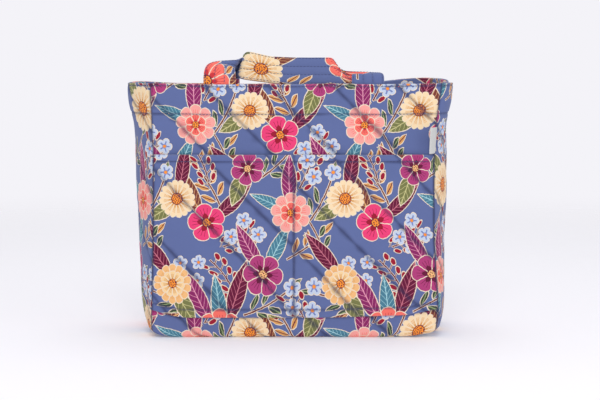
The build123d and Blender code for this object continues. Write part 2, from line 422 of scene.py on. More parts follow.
def parts_of(vector):
    node = vector.id_data.nodes.new("ShaderNodeSeparateXYZ")
    fill(node, Vector=vector)
    return Num(node.outputs[0]), Num(node.outputs[1])


def ink(red, green, blue):
    """A cloth colour from its everyday 0-255 values."""
    values = [c / 255 for c in (red, green, blue)]
    return (*[c / 12.92 if c < 0.04045 else ((c + 0.055) / 1.055) ** 2.4 for c in values], 1)


def paint(where, over, under):
    """over where the mask is 1, under elsewhere."""
    node = where.socket.id_data.nodes.new("ShaderNodeMix")
    node.data_type = "RGBA"
    node.clamp_factor = True
    feed(node.inputs[0], where)
    feed(node.inputs[6], under)
    feed(node.inputs[7], over)
    return node.outputs[2]


def cells(vector, size, wander):
    """Scattered spots: distance from the nearest spot as a share of size, and that spot's place."""
    node = vector.id_data.nodes.new("ShaderNodeTexVoronoi")
    node.voronoi_dimensions = "2D"
    fill(node, Vector=vector, Scale=1 / size, Randomness=wander)
    return Num(node.outputs["Distance"]), node.outputs["Position"]


def noise(vector, scale, detail=2.0):
    node = vector.id_data.nodes.new("ShaderNodeTexNoise")
    fill(node, Vector=vector, Scale=scale, Detail=detail)
    return Num(node.outputs["Fac"])


def object_place(tree):
    return tree.nodes.new("ShaderNodeTexCoord").outputs["Object"]


# ---- the printed design ----
# A plain floral of our own, from stock garden shapes. Each motif is drawn by a formula in millimetres
# round its own origin, with +Y the way it grows, and the design sets them out over a repeating tile.
CREAM = ink(242, 224, 200)
GROUND = ink(97, 111, 161)
MAROON = ink(104, 22, 58)
PLUM = ink(140, 40, 100)
BERRY = ink(158, 24, 50)
ORANGE = ink(250, 150, 54)
TEAL = ink(74, 128, 150)
BROWN = ink(124, 62, 54)
PEACH = ink(246, 190, 128)
STRAW = ink(250, 214, 160)
TAN = ink(222, 160, 92)
OLIVE = ink(122, 124, 76)
FOREST = ink(66, 78, 62)
CORAL = ink(250, 116, 104)
BLUSH = ink(250, 168, 160)
RED = ink(206, 56, 62)
HOT_PINK = ink(238, 66, 122)
MAGENTA = ink(178, 62, 122)
PALE = ink(198, 210, 232)
SLATE = ink(120, 138, 194)
RUBBED, SHADED = ink(226, 222, 226), ink(42, 46, 82)  # where the cloth wears, and painted shade for its creases and seams
OUTLINE = 0.85  # width of the cream line round the larger figures


def petal_place(at, petals):
    """Distance from the middle, and how far round a petal: 0 down its middle, 1 where two meet."""
    x, y = parts_of(at)
    radius = vector_calc("LENGTH", at)
    share = calc("ARCTAN2", x, y) * (petals / math.tau)
    return radius, abs(share - round(share)) * 2


def blossom(petals, reach, notch, tint, flare, heart=0.22, eye=ORANGE):
    """A round flower of even petals, with a darker throat, veins and a seeded eye."""

    def draw(at):
        radius, place = petal_place(at, petals)
        edge = calc("SQRT", 1 - place * place) * (notch * reach) + (1 - notch) * reach
        inside = edge - radius
        half_width = radius * (math.pi / petals)
        vein = calc("MINIMUM", place, abs(place - 0.42)) * half_width < 0.22
        color = paint(vein * (radius < 0.74 * reach), flare, tint)
        color = paint(radius < (0.5 - place * 0.22) * reach, flare, color)
        seam = (1 - place) * half_width < 0.42
        color = paint(calc("MAXIMUM", seam, inside < OUTLINE), CREAM, color)
        color = paint(radius < (heart + 0.04) * reach, MAROON, color)
        spot, _ = cells(at, 2.1, 0.6)
        seeds = paint(spot < 0.3, MAROON, eye)
        return inside > 0, paint(radius < heart * reach, seeds, color)

    return draw


def double(outer, inner):
    """One flower on another, for a bloom with two rows of petals."""

    def draw(at):
        low_mask, low = outer(at)
        mask, high = inner(at)
        return low_mask, paint(mask, high, low)

    return draw


def blade(x, y, length, width):
    """How far inside a pointed leaf from the origin up to length a point is; negative outside."""
    along = calc("MINIMUM", calc("MAXIMUM", y * (math.pi / length), 0), math.pi)
    return calc("SINE", along) * (width / 2) - abs(x)


def leaf(length, width, bend, tint, vein):
    """A pointed leaf with a midrib and side veins."""

    def draw(at):
        x, y = parts_of(at)
        x = x + y * y * bend
        side = abs(x)
        inside = blade(x, y, length, width)
        branch = abs(calc("WRAP", y - side * 1.2, 2.6, -2.6)) - 0.28
        color = paint(calc("MINIMUM", side - 0.45, branch) < 0, vein, tint)
        return inside > 0, paint(inside < OUTLINE, CREAM, color)

    return draw


def sprig(long, spacing, tint, vein):
    """A stem with three pairs of plain leaflets and one at its tip."""
    pairs, leaflet, width = 3, 16, 6.4

    def draw(at):
        x, y = parts_of(at)
        x = x + y * y * 0.004
        side = abs(x)
        slanted = y + (x < 0) * (spacing * 0.4) - side * 0.85
        which = round(slanted / spacing)
        across = (slanted - which * spacing) * 0.76
        inside = blade(across, side * 1.3 - 1.4, leaflet, width)
        grows = calc("COMPARE", which, pairs / 2, pairs / 2 - 0.4)
        inside = calc("MINIMUM", inside, grows * 20 - 10)
        tip = blade(x, y - (long - 3), leaflet, width)
        rib = calc("MINIMUM", abs(across) + (tip > 0) * 9, side + (tip < 0) * 9)
        inside = calc("MAXIMUM", inside, tip)
        stem = 1.2 - calc("MAXIMUM", side, abs(y - long / 2) - long / 2 + 1)
        color = paint(rib < 0.42, vein, tint)
        color = paint(inside < 0.7, CREAM, color)
        color = paint(inside > 0, color, paint(stem < 0.55, CREAM, BROWN))
        return calc("MAXIMUM", inside, stem) > 0, color

    return draw


def berries(at):
    """A twig with round berries on both sides."""
    spacing = 7.4
    x, y = parts_of(at)
    x = x + y * y * 0.006
    side = abs(x)
    slanted = y + (x < 0) * 3.6 - side * 0.7
    which = round(slanted / spacing)
    along = slanted - which * spacing
    reach = 5.6 + calc("FRACT", which * 0.618 + (x < 0) * 0.4) * 3.2
    radius = calc("SQRT", (side - reach) * (side - reach) + along * along * 0.7)
    grows = calc("COMPARE", which, 2, 2.2)
    berry = (2.9 - radius) * grows
    twig = (0.75 - abs(along)) * grows * (side < reach)
    stem = 0.9 - calc("MAXIMUM", side, abs(y - 17) - 17)
    wood = calc("MAXIMUM", twig, stem)
    color = paint(wood > 0.38, MAROON, CREAM)
    color = paint(berry > 0, CREAM, color)
    color = paint(berry > 0.65, BERRY, color)
    return calc("MAXIMUM", wood, berry) > 0, color


def small_flowers(at):
    """A loose cluster of little pale flowers."""
    _, centre = cells(at, 17.5, 0.35)
    local = vector_calc("SUBTRACT", at, centre)
    radius, place = petal_place(local, 5)
    inside = 4.6 + calc("SQRT", 1 - place * place) * 3.6 - radius
    color = paint(place * radius < 1.1 * (radius < 5.2), SLATE, PALE)
    color = paint(inside < 0.75, CREAM, color)
    color = paint(radius < 2.2, SLATE, color)
    color = paint(radius < 1.6, ORANGE, color)
    cx, cy = parts_of(centre)
    here = calc("SQRT", cx * cx + cy * cy * 1.7) < 23
    return here * (inside > 0), color


MOTIFS = {
    "coral": blossom(8, 21, 0.24, CORAL, RED),
    "pink": blossom(5, 19, 0.3, HOT_PINK, BERRY, 0.2),
    "magenta": blossom(6, 20, 0.27, MAGENTA, MAROON, 0.2, PEACH),
    "blush": double(blossom(9, 20, 0.22, BLUSH, CORAL), blossom(6, 11, 0.26, CORAL, RED, 0.3)),
    "daisy": blossom(16, 22, 0.16, ink(250, 222, 180), TAN, 0.28),
    "marigold": double(blossom(14, 20, 0.17, PEACH, TAN), blossom(11, 13, 0.18, STRAW, TAN, 0.3)),
    "small": small_flowers,
    "berries": berries,
    "maroon_leaf": leaf(64, 17, 0.0012, MAROON, ink(206, 116, 136)),
    "plum_leaf": leaf(58, 16, -0.0014, PLUM, ink(232, 152, 180)),
    "teal_leaf": leaf(56, 15, 0.001, TEAL, ink(168, 214, 222)),
    "brown_leaf": leaf(60, 16, -0.001, BROWN, PEACH),
    "olive_leaf": leaf(36, 15, 0, OLIVE, ink(206, 200, 140)),
    "dark_sprig": sprig(48, 11.5, FOREST, ink(150, 168, 116)),
    "tan_sprig": sprig(44, 12.5, TAN, MAROON),
}
TILE = (156, 206)
# (motif, across, up, degrees turned anticlockwise, size), in millimetres, drawn first to last
DESIGN = [
    ("dark_sprig", 52, 56, -74, 1),
    ("dark_sprig", 4, 58, 58, 0.95),
    ("tan_sprig", 92, 104, -64, 0.95),
    ("tan_sprig", 32, 150, 20, 1),
    ("dark_sprig", 112, 138, -38, 1),
    ("tan_sprig", 120, 14, -104, 0.95),
    ("tan_sprig", 70, 18, 96, 0.9),
    ("dark_sprig", 66, 178, -58, 0.95),
    ("dark_sprig", 128, 104, 14, 0.9),
    ("berries", 44, 74, 26, 1.05),
    ("berries", 112, 44, 20, 1.05),
    ("berries", 104, 170, -30, 1.1),
    ("berries", 20, 176, 12, 1),
    ("berries", 34, 116, -76, 0.95),
    ("small", 112, 76, 0, 1),
    ("small", 52, 134, 50, 0.95),
    ("small", 126, 198, 20, 1),
    ("small", 6, 98, 0, 0.85),
    ("maroon_leaf", 34, 44, -24, 1),
    ("plum_leaf", 26, 44, 34, 1),
    ("teal_leaf", 32, 36, 4, 1),
    ("brown_leaf", 104, 26, -52, 0.95),
    ("olive_leaf", 104, 30, 48, 1.15),
    ("plum_leaf", 72, 90, 34, 0.95),
    ("teal_leaf", 70, 90, -30, 0.95),
    ("maroon_leaf", 144, 84, 34, 0.9),
    ("olive_leaf", 142, 80, -146, 1.1),
    ("maroon_leaf", 20, 138, -52, 0.85),
    ("brown_leaf", 16, 140, 28, 0.9),
    ("plum_leaf", 96, 148, 6, 0.95),
    ("teal_leaf", 98, 146, 62, 0.8),
    ("maroon_leaf", 146, 160, -14, 0.85),
    ("olive_leaf", 148, 158, 120, 1),
    ("brown_leaf", 56, 190, 44, 0.9),
    ("olive_leaf", 54, 188, 160, 1.05),
    ("coral", 30, 40, 0, 1.05),
    ("daisy", 104, 26, 10, 0.95),
    ("magenta", 70, 90, 24, 0.95),
    ("marigold", 142, 82, 0, 0.9),
    ("pink", 18, 138, 12, 0.95),
    ("blush", 96, 147, 0, 0.95),
    ("daisy", 146, 160, 30, 0.8),
    ("magenta", 56, 188, -10, 0.8),
]


def new_group(name, **outputs):
    """A node group that takes a place, with that place's socket inside it."""
    tree = bpy.data.node_groups.new(name, "ShaderNodeTree")
    tree.interface.new_socket("At", in_out="INPUT", socket_type="NodeSocketVector")
    for output, kind in outputs.items():
        tree.interface.new_socket(output, in_out="OUTPUT", socket_type=kind)
    return tree, tree.nodes.new("NodeGroupInput").outputs[0]


def placed_group(group, at):
    """The outputs of a group's copy at a place."""
    node = at.id_data.nodes.new("ShaderNodeGroup")
    node.node_tree = group
    fill(node, At=at)
    return node.outputs


def motif_group(name):
    """A node group that draws one motif."""
    tree, at = new_group(name, Mask="NodeSocketFloat", Color="NodeSocketColor")
    mask, color = MOTIFS[name](at)
    fill(tree.nodes.new("NodeGroupOutput"), Mask=mask, Color=color)
    return tree


def print_group():
    """The whole repeating design: cloth position in metres to colour."""
    tree, cloth = new_group("floral_print", Color="NodeSocketColor")
    to_mm = vector_calc("MULTIPLY", cloth, (1000, 1000, 0))
    wobble = tree.nodes.new("ShaderNodeTexNoise")
    fill(wobble, Vector=to_mm, Scale=0.35)
    hand_drawn = vector_calc("MULTIPLY_ADD", wobble.outputs["Color"], (1.2, 1.2, 0), to_mm)
    groups = {name: motif_group(name) for name in MOTIFS}
    half = (TILE[0] / 2, TILE[1] / 2)
    color = GROUND
    for name, across, up, degrees, size in DESIGN:
        local = vector_calc("SUBTRACT", hand_drawn, (across, up, 0))
        local = vector_calc("WRAP", local, (*half, 1), (-half[0], -half[1], -1))
        turn = tree.nodes.new("ShaderNodeMapping")
        turn.vector_type = "TEXTURE"
        fill(turn, Vector=local, Rotation=(0, 0, math.radians(degrees)), Scale=(size, size, 1))
        mask, motif = placed_group(groups[name], turn.outputs[0])
        color = paint(Num(mask), motif, color)
    fill(tree.nodes.new("NodeGroupOutput"), Color=color)
    return tree


# ---- materials ----
def new_material(name):
    """A material with its Principled shader, ready for its inputs."""
    material = bpy.data.materials.new(name)
    material.use_nodes = True
    tree = material.node_tree
    return material, tree, tree.nodes["Principled BSDF"]


def bump(shader, height, distance, strength=1.0):
    node = shader.id_data.nodes.new("ShaderNodeBump")
    fill(node, Height=height, Distance=distance, Strength=strength)
    fill(shader, Normal=node.outputs[0])


def weave_bump(cloth, shader, pitch, strength):
    """Crossed threads pitch apart, with slubs, as bump."""
    x, y = parts_of(cloth)
    across = calc("SINE", x * (math.tau / pitch))
    along = calc("SINE", y * (math.tau / pitch))
    checks = across * along
    fuzz = noise(cloth, 900, 3)
    height = checks * 0.5 + fuzz + noise(cloth, 60, 2) * 1.4
    bump(shader, height, 0.12 * MM, strength)
    return fuzz


def cloth_vector(tree):
    uv = tree.nodes.new("ShaderNodeUVMap")
    uv.uv_map = "Cloth"
    return uv.outputs[0]


def mark(tree, name):
    """What sheet() marked on the cloth: its wear or its painted crease shade."""
    node = tree.nodes.new("ShaderNodeAttribute")
    node.attribute_name = name
    return Num(node.outputs["Fac"])


def printed_cotton(design):
    """Cotton printed with a design, uneven in tone, rubbed pale at its edges, painted with shade in
    creases.
    """
    material, tree, shader = new_material("printed_cotton")
    cloth = cloth_vector(tree)
    printed = placed_group(design, cloth)[0]
    fuzz = weave_bump(cloth, shader, 0.55 * MM, 0.35)
    mottle = noise(cloth, 25, 3) * 0.12 + fuzz * 0.1 + 0.89
    shade = tree.nodes.new("ShaderNodeVectorMath")
    shade.operation = "SCALE"
    fill(shade, Vector=printed, Scale=mottle)
    worn_and_shaded = paint(mark(tree, "wear") * 0.14, RUBBED, shade.outputs[0])
    # painted shade in creases and along seams
    worn_and_shaded = paint(mark(tree, "crease_shade") * 0.5, SHADED, worn_and_shaded)
    fill(shader, Base_Color=worn_and_shaded, Roughness=fuzz * 0.16 + 0.76, Sheen_Weight=0.12,
         Specular_IOR_Level=0.25)
    return material


def plain_cloth(name, color, shadow, pitch=0.6 * MM, strength=0.4, roughness=0.82):
    """A woven cloth of one dye, with slubs, darker and lighter threads, and rubbed edges."""
    material, tree, shader = new_material(name)
    cloth = cloth_vector(tree)
    fuzz = weave_bump(cloth, shader, pitch, strength)
    streaks = noise(vector_calc("MULTIPLY", cloth, (1500, 60, 0)), 1, 2)
    tint = paint(fuzz * 0.5 + streaks * 0.5, color, shadow)
    tint = paint(mark(tree, "wear") * 0.2, ink(235, 230, 224), tint)
    fill(shader, Base_Color=tint, Roughness=fuzz * 0.15 + roughness - 0.07, Sheen_Weight=0.15)
    return material


def thread_material(name, color, light):
    """Twisted sewing thread."""
    material, tree, shader = new_material(name)
    grain = noise(object_place(tree), 1800, 2)
    tint = paint(grain, light, color)
    fill(shader, Base_Color=tint, Roughness=grain * 0.2 + 0.5, Sheen_Weight=0.2)
    bump(shader, grain, 0.05 * MM)
    return material


def snap_material():
    """Plated steel with fine turning marks and handling smudges."""
    material, tree, shader = new_material("snap_metal")
    here = object_place(tree)
    smudge = noise(here, 260, 4)
    tint = paint(smudge, ink(206, 204, 200), ink(170, 168, 166))
    fill(shader, Base_Color=tint, Metallic=1.0, Roughness=smudge * 0.25 + 0.2)
    bump(shader, noise(here, 2500, 2), 0.05 * MM, 0.15)
    return material


MATERIALS = {
    "printed_cotton": printed_cotton(print_group()),
    "lining_cotton": plain_cloth("lining_cotton", ink(214, 202, 180), ink(186, 172, 150)),
    "stiffener": plain_cloth("stiffener", ink(222, 222, 220), ink(204, 204, 202), 2 * MM, 0.2),
    "label_tape": plain_cloth("label_tape", ink(222, 222, 219), ink(194, 196, 196), 0.5 * MM, 0.5, 0.6),
    "thread": thread_material("thread", ink(52, 58, 100), ink(74, 82, 132)),
    "pale_thread": thread_material("pale_thread", ink(206, 192, 166), ink(232, 220, 198)),
    "snap_metal": snap_material(),
}


# ---- walls ----
SIDES = {  # CAD node, where its cloth is cut from the print, and where its quilting lines start
    "front": ("front_panel", (0.03, 0.155), 22.4 * MM),
    "back": ("back_panel", (0.11, 0.05), 30 * MM),
    "left": ("left_gusset", (0.06, 0.02), 5 * MM),
    "right": ("right_gusset", (0.14, 0.09), 17 * MM),
}
RIM_STITCH = RIM - 2.2 * MM
WALL_LOW = CURL * (1 - math.pi / 2)  # up the cloth, where a wall meets the base
WALL_GRID = 1.25 * MM
SHORTEST_RUN = 6 * MM  # of quilting thread
LINING_INSET = QUILT + 0.7 * MM
FACING_INSET = QUILT - 1.2 * MM


def on_wall(side, inset=0.0, margin=0.0):
    """place(u, v, out) for a layer inset into a wall, and how far it reaches, margin short of the seams.
    u runs across the wall as seen from outside, v up the cloth, from below zero on the turn under the base
    to the rim, and out is outwards, in metres."""
    sign = -1 if side in ("front", "left") else 1
    span = half_span(side)

    def place(u, v, out):
        out = out - inset
        turn = np.clip((CURL - v) / CURL, 0, math.pi / 2)
        low = v < CURL
        z = np.where(low, CURL - (CURL + out) * np.sin(turn), v)
        sunk = np.where(low, CURL - (CURL + out) * np.cos(turn), -out)
        tuck = CURL * (1 - np.cos(turn))
        height = np.maximum(v, 0)
        depth = half_depth(height)
        if side in ("front", "back"):
            x = -sign * u / span * (HALF_WIDTH - tuck)
            y = sign * (depth - sunk)
        else:
            bulge, radius, half_angle = bow(height)
            angle = u / span * half_angle * sign
            x = sign * (HALF_WIDTH + bulge - radius + (radius - sunk) * np.cos(angle))
            y = (radius - sunk) * np.sin(angle) * (1 - tuck * (1 - np.sin(half_angle)) / depth)
        return np.stack([x, y, z], axis=-1)

    return place, span - margin


def wall_relief(side):
    span = half_span(side)

    def relief(u, v):
        seam = span - abs(u)
        lift = quilting(u, v, SIDES[side][2])
        lift -= 0.8 * MM * hill(v, FACING_LOW, 1.4 * MM)
        lift -= 0.7 * MM * hill(v, RIM_STITCH, 1.1 * MM)
        lift += 0.35 * MM * ripple(v, 0 * v, 31, 0.011) * np.exp(-seam / (9 * MM))
        lift -= 0.5 * MM * np.exp(-seam / (3 * MM))
        return lift + 0.12 * MM * ripple(u, v, 44, 0.009)

    return relief


def build_wall(side):
    """A quilted wall with its facing and lining."""
    panel, cloth, _ = SIDES[side]
    put, span = on_wall(side)
    obj = sheet(side + "_wall", put, (-span, span), (WALL_LOW, RIM), pitch=WALL_GRID, thick=QUILT,
                radius=2.4 * MM, lift=wall_relief(side), offset=cloth, seamed=True)
    finish(obj, "bag", "printed_cotton", panel)

    def inner_stitch(u, v):
        return 0.12 * MM * ripple(u, v, 52, 0.02) - 0.5 * MM * hill(v, RIM_STITCH, 1.1 * MM)

    put, span = on_wall(side, FACING_INSET, 3 * MM)
    cloth = (cloth[0] + 0.05, cloth[1] + 0.07)
    obj = sheet(side + "_mouth_facing", put, (-span, span), (FACING_LOW - MM, RIM - 0.3 * MM),
                pitch=2.5 * MM, thick=4.6 * MM, radius=2.2 * MM, dent=inner_stitch, offset=cloth)
    finish(obj, "bag", "printed_cotton", side + "_facing")

    put, span = on_wall(side, LINING_INSET, 3 * MM)

    def loose(u, v, out):
        return put(u, v, out - 0.3 * MM * (1 + ripple(u, v, len(side), 0.03)))

    obj = sheet(side + "_wall_lining", loose, (-span, span), (6 * MM, FACING_LOW + 4 * MM),
                pitch=4 * MM, thick=0.8 * MM, radius=0.5 * MM)
    finish(obj, "bag", "lining_cotton", side + "_lining")


def surface_path(put, relief, u, v, move=settle):
    """Points on a surface and the way out of it there."""
    on = move(put(u, v, relief(u, v)))
    above = move(put(u, v, relief(u, v) + MM))
    return on, above - on


def surface_paths(put, relief, lines, move=settle):
    return [surface_path(put, relief, u, v, move) for u, v in lines]


def quilt_lines(span, low, high, phase):
    """Rows of (u, v) along each line of quilting between two heights, but for the shortest."""
    first = math.ceil((-span + low - phase / DIAGONAL) * DIAGONAL / QUILT_SPACING)
    last = math.floor((span + high - phase / DIAGONAL) * DIAGONAL / QUILT_SPACING)
    for k in range(first, last + 1):
        total = (phase + k * QUILT_SPACING) / DIAGONAL
        u_low, u_high = max(-span, total - high), min(span, total - low)
        if u_high - u_low > SHORTEST_RUN:
            u = np.arange(u_low + MM, u_high - MM, MM)
            yield u, total - u


def join_stitches(name, runs, style, body="bag", material="thread"):
    """One object from the stitches along several (path, out) runs."""
    points, faces = np.zeros((0, 3)), []
    for path, out in runs:
        part, part_faces = stitches(path, out, style)
        faces += [[len(points) + corner for corner in face] for face in part_faces]
        points = np.concatenate([points, part])
    obj = mesh_object(name, points, faces)
    return finish(obj, body, material)


def level_run(put, relief, span, height):
    """A line of stitching across a wall at one height."""
    u = np.arange(-span + 2 * MM, span - 2 * MM, MM)
    return surface_path(put, relief, u, height + 0 * u)


def build_wall_stitches():
    """The rim's, the facing's and the quilting's thread, round all four walls."""
    rim, line, quilt = [], [], []
    for side in SIDES:
        put, span = on_wall(side)
        relief = wall_relief(side)
        rim.append(level_run(put, relief, span, RIM_STITCH))
        line.append(level_run(put, relief, span, FACING_LOW))
        pieces = [(2 * MM, POCKET_LOW), (POCKET_TOP, RIM)] if side == "front" else [(2 * MM, RIM)]
        for low, high in pieces:
            quilt += surface_paths(put, relief, quilt_lines(span - 2 * MM, low, high, SIDES[side][2]))
    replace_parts(join_stitches("rim_topstitch", rim, STITCH), "rim_stitching")
    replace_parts(join_stitches("facing_topstitch", line, STITCH), "facing_stitching")
    join_stitches("wall_quilting_thread", quilt, FINE_STITCH)


# ---- base ----
def floor_place(inset, low):
    """place(u, v, out) for a level sheet inside the walls' feet, its outer face down at height low."""
    bulge, radius, _ = bow(0.0)
    half = half_depth(0.0) - inset

    def put(u, v, out):
        reach = HALF_WIDTH + bulge - radius + np.sqrt((radius - inset) ** 2 - v**2)
        return np.stack([-u / (HALF_WIDTH - inset) * reach, v, low - out], axis=-1)

    return put, HALF_WIDTH - inset, float(half)


BASE_PHASE = 9 * MM


def build_base():
    """The quilted base with its thread, and the lining over its board."""

    def relief(u, v):
        return quilting(u, v, BASE_PHASE) * 0.8

    put, wide, deep = floor_place(CURL - 0.3 * MM, 0)
    obj = sheet("base_quilt", put, (-wide, wide), (-deep, deep), pitch=2.2 * MM, thick=QUILT,
                radius=1.6 * MM, lift=relief, offset=(0.02, 0.07))
    finish(obj, "bag", "printed_cotton", "base_panel")
    lines = quilt_lines(wide - 3 * MM, -deep, deep, BASE_PHASE)
    join_stitches("base_quilting_thread", surface_paths(put, relief, lines), FINE_STITCH)

    lining_low, lining_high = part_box("base_lining")[0].z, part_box("base_lining")[1].z
    put, wide, deep = floor_place(QUILT + 1.4 * MM, lining_low)

    def crumple(u, v):
        return 0.35 * MM * (1 + ripple(u, v, 71, 0.03))

    obj = sheet("floor_lining", put, (-wide, wide), (-deep, deep), pitch=4 * MM,
                thick=lining_high - lining_low, radius=0.6 * MM, dent=crumple)
    finish(obj, "bag", "lining_cotton", "base_lining")


# ---- pockets ----
POCKET_PHASE = 18 * MM
POCKET_HEM = 6.5 * MM
POCKET_SEAM = 7 * MM
POCKET_SAG = 4 * MM
SLIP_HEM = 12 * MM


def pocket_place():
    """place(u, v, out) for the patch pocket, which stands off the wall most at its mouth and whose lower
    edge sags between its corners."""
    put, span = on_wall("front")

    def place(u, v, out):
        sag = POCKET_SAG * ease(span - abs(u), 0, 36 * MM) * (1 - 0.5 * ease(u, 0.02, 0.1))
        v = v - sag * (1 - ease(v, POCKET_LOW, POCKET_LOW + 40 * MM))
        free = 1 - np.exp(-((span - abs(u)) / (26 * MM)) ** 1.5)
        free = free * (1 - np.exp(-((abs(u) / (20 * MM)) ** 1.5)))
        gape = ease(v, POCKET_LOW + POCKET_SEAM, POCKET_TOP) * free
        stand = 2.5 * MM + 1.7 * MM * gape + 0.35 * MM * gape * ripple(u, v, 77, 0.05)
        return put(u, v, out + stand)

    return place, span


def pocket_relief(u, v):
    lift = quilting(u, v, POCKET_PHASE)
    lift -= 0.9 * MM * hill(v, POCKET_TOP - POCKET_HEM, 1.3 * MM)
    lift -= 0.9 * MM * hill(v, POCKET_LOW + POCKET_SEAM, 1.3 * MM)
    lift -= 1.1 * MM * hill(u, 0, 1.8 * MM)
    lift += 0.3 * MM * ripple(v, 0 * v, 33, 0.01) * np.exp(-(HALF_WIDTH - abs(u)) / (9 * MM))
    lift += 0.25 * MM * ripple(v, 0 * v, 35, 0.009) * np.exp(-abs(u) / (7 * MM))
    return lift + 0.4 * MM * ease(v, POCKET_TOP - POCKET_HEM, POCKET_TOP - POCKET_HEM + 2 * MM)


def build_pocket():
    """The patch pocket and its thread."""
    place, span = pocket_place()
    reach = span - 0.8 * MM
    obj = sheet("patch_pocket", place, (-reach, reach), (POCKET_LOW, POCKET_TOP), pitch=WALL_GRID,
                thick=2.2 * MM, radius=1.6 * MM, lift=pocket_relief, offset=(0.098, 0.03), seamed=True)
    finish(obj, "bag", "printed_cotton", "front_pocket")
    up = np.arange(POCKET_LOW + MM, POCKET_TOP - 0.5 * MM, MM)
    runs = [
        level_run(place, pocket_relief, reach, POCKET_TOP - POCKET_HEM),
        level_run(place, pocket_relief, reach, POCKET_LOW + POCKET_SEAM),
        surface_path(place, pocket_relief, 0 * up, up),
    ]
    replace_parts(join_stitches("pocket_topstitch", runs, STITCH), "pocket_stitching")
    low, high = POCKET_LOW + 2 * MM, POCKET_TOP - 2 * MM
    lines = quilt_lines(reach, low, high, POCKET_PHASE)
    runs = surface_paths(place, pocket_relief, lines)
    join_stitches("pocket_quilting_thread", runs, FINE_STITCH)


def build_slip_pocket():
    """The flat pocket sewn on the back lining."""
    lowest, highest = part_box("slip_pocket")
    put, _ = on_wall("back", LINING_INSET + 1.5 * MM)
    half, mouth = highest.x, highest.z

    def place(u, v, out):
        gape = ease(v, lowest.z, mouth) * np.clip(1 - (u / half) ** 2, 0, 1)
        return put(u, v, out - 1.2 * MM * gape)

    def dent(u, v):
        hem = 0.35 * MM * ease(v, mouth - SLIP_HEM - MM, mouth - SLIP_HEM + MM)
        return hem + 0.15 * MM * ripple(u, v, 81, 0.02)

    obj = sheet("inner_slip_pocket", place, (-half, half), (lowest.z, mouth), pitch=3 * MM,
                thick=0.8 * MM, radius=0.5 * MM, dent=dent, offset=(0.3, 0.2))
    finish(obj, "bag", "lining_cotton", "slip_pocket")

    def inwards(u, v):
        return -0.8 * MM - dent(u, v)

    up = np.arange(lowest.z + 2 * MM, mouth - MM, MM)
    along = np.arange(-half + 2 * MM, half - 2 * MM, MM)
    edges = [(up * 0 - half + 2 * MM, up), (up * 0 + half - 2 * MM, up)]
    edges += [(along, 0 * along + lowest.z + 2 * MM), (along, 0 * along + mouth - SLIP_HEM)]
    runs = [(path, -out) for path, out in surface_paths(place, inwards, edges)]
    join_stitches("slip_pocket_thread", runs, STITCH, material="pale_thread")


# ---- label ----
LABEL_LONG = 14 * MM
LABEL_THICK = MM


def build_label():
    """A folded tape let into the right front seam, with nothing on it."""
    hinge = Vector(JOINTS["side_label_flap"]["pos_m"])
    lowest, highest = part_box("side_label")
    tip = Vector((lowest.x, lowest.y, hinge.z))
    along = (tip - hinge).normalized()
    across = Vector((-along.y, along.x, 0))

    def place(u, v, out):
        bow_out = 1.1 * MM * np.sin(-u / LABEL_LONG * math.pi) + 0.4 * MM * ripple(-u, v, 91, 0.02)
        stand = out + LABEL_THICK / 2 + bow_out
        x = hinge.x - along.x * u + across.x * stand
        y = hinge.y - along.y * u + across.y * stand
        return np.stack([x, y, v + 0 * x], axis=-1)

    obj = sheet("blank_side_tape", place, (-LABEL_LONG, 1.2 * MM), (lowest.z, highest.z),
                pitch=0.8 * MM, thick=LABEL_THICK, radius=0.45 * MM)
    finish(obj, None, "label_tape", "side_label")
    hinge + along * 0.3 * MM
    hinge + along * 3 * MM
    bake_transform(obj)


# ---- handles ----
STRAP_THICK = 3.2 * MM
STRAP_WIDE = 30 * MM
LEG_OUTER, LEG_INNER = 83.5, 53.5
STITCH_ROWS = (0.05, 0.35, 0.65, 0.95)  # shares of the strap's width


def strap_place(edges, pivot, side, fold=0.0):
    """place(u, v, out) for a strap. Each row of edges has x, towards the mouth and up for its outer edge,
    then for its inner one, in millimetres from the middle of its swing line. fold is its turn from
    upright."""
    edges = np.array(edges, float) * MM
    travelled = travel(edges.reshape(-1, 2, 3).mean(axis=1))
    fine = np.linspace(0, travelled[-1], round(travelled[-1] / MM) + 1)
    rows = softened(read_along(fine, travelled, edges), 2)

    def surface(u, v):
        ends = [np.interp(u, fine, column) for column in rows.T]
        share = v / STRAP_WIDE
        x, inwards, up = [ends[3 + k] + (ends[k] - ends[3 + k]) * share for k in range(3)]
        y = pivot.y + side * (up * math.sin(fold) - inwards * math.cos(fold))
        z = pivot.z + up * math.cos(fold) + inwards * math.sin(fold)
        return np.stack([x, y, z], axis=-1)

    def place(u, v, out):
        step = 0.5 * MM
        along = surface(u + step, v) - surface(u - step, v)
        over = surface(u, v + step) - surface(u, v - step)
        return surface(u, v) + unit(np.cross(along, over)) * (out + STRAP_THICK / 2)[..., None]

    return place, float(travelled[-1])


def strap_relief(u, v):
    lift = 0.12 * MM * ripple(u, v, 61, 0.012)
    for row in STITCH_ROWS:
        lift -= 0.55 * MM * hill(v, row * STRAP_WIDE, 1.3 * MM)
    return lift


def still(points):
    """In place of settle(), for the straps."""
    return points


def strap(name, place, length, offset, body=None, relief=strap_relief):
    """A padded strap, put on its body if one is given."""
    obj = sheet(name, place, (0, length), (0, STRAP_WIDE), pitch=1.2 * MM, thick=STRAP_THICK,
                radius=1.5 * MM, lift=relief, dent=strap_relief, offset=offset, move=still)
    return finish(obj, body, "printed_cotton")


def strap_runs(place, low, high):
    """The lines of stitching along a strap."""
    along = np.arange(low, high, MM)
    lines = [(along, along * 0 + row * STRAP_WIDE) for row in STITCH_ROWS]
    return surface_paths(place, strap_relief, lines, still)


